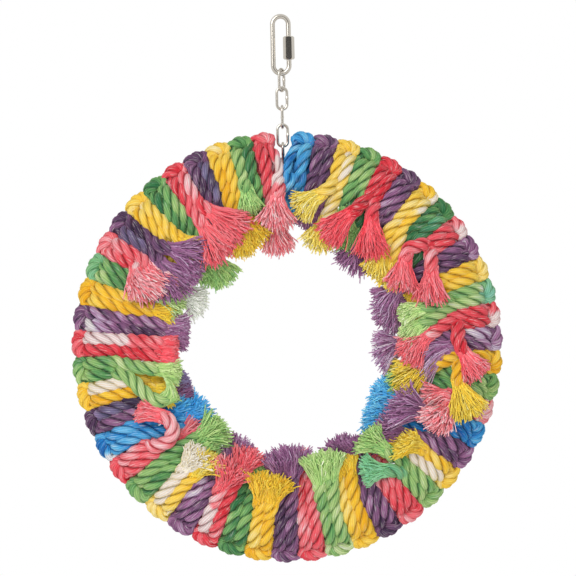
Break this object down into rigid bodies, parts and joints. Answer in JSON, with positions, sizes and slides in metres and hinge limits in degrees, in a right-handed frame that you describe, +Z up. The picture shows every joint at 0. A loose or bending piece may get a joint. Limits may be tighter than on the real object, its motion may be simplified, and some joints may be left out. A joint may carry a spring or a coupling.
{
  "type": "bird ring swing",
  "caption": "Bird ring swing: short dyed cotton ropes knotted all round a steel hoop, their frayed ends inwards, hung by a welded chain from a screw-gate quick link.",
  "frame": {"origin": "the hang point, where a support wire bears on the inside top of the quick link", "axes": "+Z up along the chain, -Y towards the side where the rope ends lie, +X to the right seen from there, through the screw gate"},
  "size_m": [0.3045, 0.0397, 0.3879],
  "materials": {
    "nickel_steel": "bright nickel plate",
    "hoop_steel": "drawn wire",
    "rope_blue": "space-dyed twisted cotton",
    "rope_purple": "space-dyed twisted cotton",
    "rope_yellow": "space-dyed twisted cotton",
    "rope_green": "space-dyed twisted cotton",
    "rope_red": "space-dyed twisted cotton"
  },
  "bodies": {
    "quick_link": {"quick_link_body": "nickel_steel"},
    "gate_nut": {"quick_link_nut": "nickel_steel"},
    "chain_1": {"chain_link_1": "nickel_steel"},
    "chain_2": {"chain_link_2": "nickel_steel"},
    "chain_3": {"chain_link_3": "nickel_steel"},
    "chain_4": {"chain_link_4": "nickel_steel"},
    "chain_5": {"chain_link_5": "nickel_steel"},
    "ring": {"hoop": "hoop_steel", "rope_01_blue": "rope_blue", "rope_02_purple": "rope_purple", "rope_03_yellow": "rope_yellow", "rope_04_green": "rope_green", "rope_05_red": "rope_red", "rope_06_purple": "rope_purple", "rope_07_yellow": "rope_yellow", "rope_08_green": "rope_green", "rope_09_red": "rope_red", "rope_10_purple": "rope_purple", "rope_11_yellow": "rope_yellow", "rope_12_green": "rope_green", "rope_13_red": "rope_red", "rope_14_purple": "rope_purple", "rope_15_yellow": "rope_yellow", "rope_16_green": "rope_green", "rope_17_red": "rope_red", "rope_18_blue": "rope_blue", "rope_19_purple": "rope_purple", "rope_20_yellow": "rope_yellow", "rope_21_green": "rope_green", "rope_22_red": "rope_red", "rope_23_purple": "rope_purple", "rope_24_yellow": "rope_yellow", "rope_25_green": "rope_green", "rope_26_red": "rope_red", "rope_27_purple": "rope_purple", "rope_28_yellow": "rope_yellow", "rope_29_green": "rope_green", "rope_30_red": "rope_red", "rope_31_purple": "rope_purple", "rope_32_yellow": "rope_yellow", "rope_33_green": "rope_green", "rope_34_red": "rope_red", "rope_35_blue": "rope_blue", "rope_36_purple": "rope_purple", "rope_37_yellow": "rope_yellow", "rope_38_green": "rope_green", "rope_39_red": "rope_red", "rope_40_purple": "rope_purple", "rope_41_yellow": "rope_yellow", "rope_42_green": "rope_green", "rope_43_red": "rope_red", "rope_44_purple": "rope_purple", "rope_45_yellow": "rope_yellow", "rope_46_green": "rope_green", "rope_47_red": "rope_red", "rope_48_purple": "rope_purple", "rope_49_yellow": "rope_yellow", "rope_50_green": "rope_green", "rope_51_red": "rope_red"}
  },
  "joints": [
    {"name": "nut_travel", "type": "slide", "parent": "quick_link", "child": "gate_nut", "axis": [0, 0, 1], "range_m": [0, 0.0082]},
    {"name": "link_1_swing", "type": "hinge", "parent": "quick_link", "child": "chain_1", "pos_m": [0, 0, -0.03875], "axis": [1, 0, 0], "range_deg": [-30, 30]},
    {"name": "link_2_swing", "type": "hinge", "parent": "chain_1", "child": "chain_2", "pos_m": [0, 0, -0.0511], "axis": [0.4695, 0.8829, 0], "range_deg": [-45, 45]},
    {"name": "link_3_swing", "type": "hinge", "parent": "chain_2", "child": "chain_3", "pos_m": [0, 0, -0.0642], "axis": [1, 0, 0], "range_deg": [-40, 40]},
    {"name": "link_4_swing", "type": "hinge", "parent": "chain_3", "child": "chain_4", "pos_m": [0, 0, -0.0773], "axis": [0, 1, 0], "range_deg": [-40, 40]},
    {"name": "link_5_swing", "type": "hinge", "parent": "chain_4", "child": "chain_5", "pos_m": [0, 0, -0.0904], "axis": [1, 0, 0], "range_deg": [-30, 30]},
    {"name": "ring_swing", "type": "hinge", "parent": "chain_5", "child": "ring", "pos_m": [0, 0, -0.1002], "axis": [1, 0, 0], "range_deg": [-30, 30]}
  ]
}
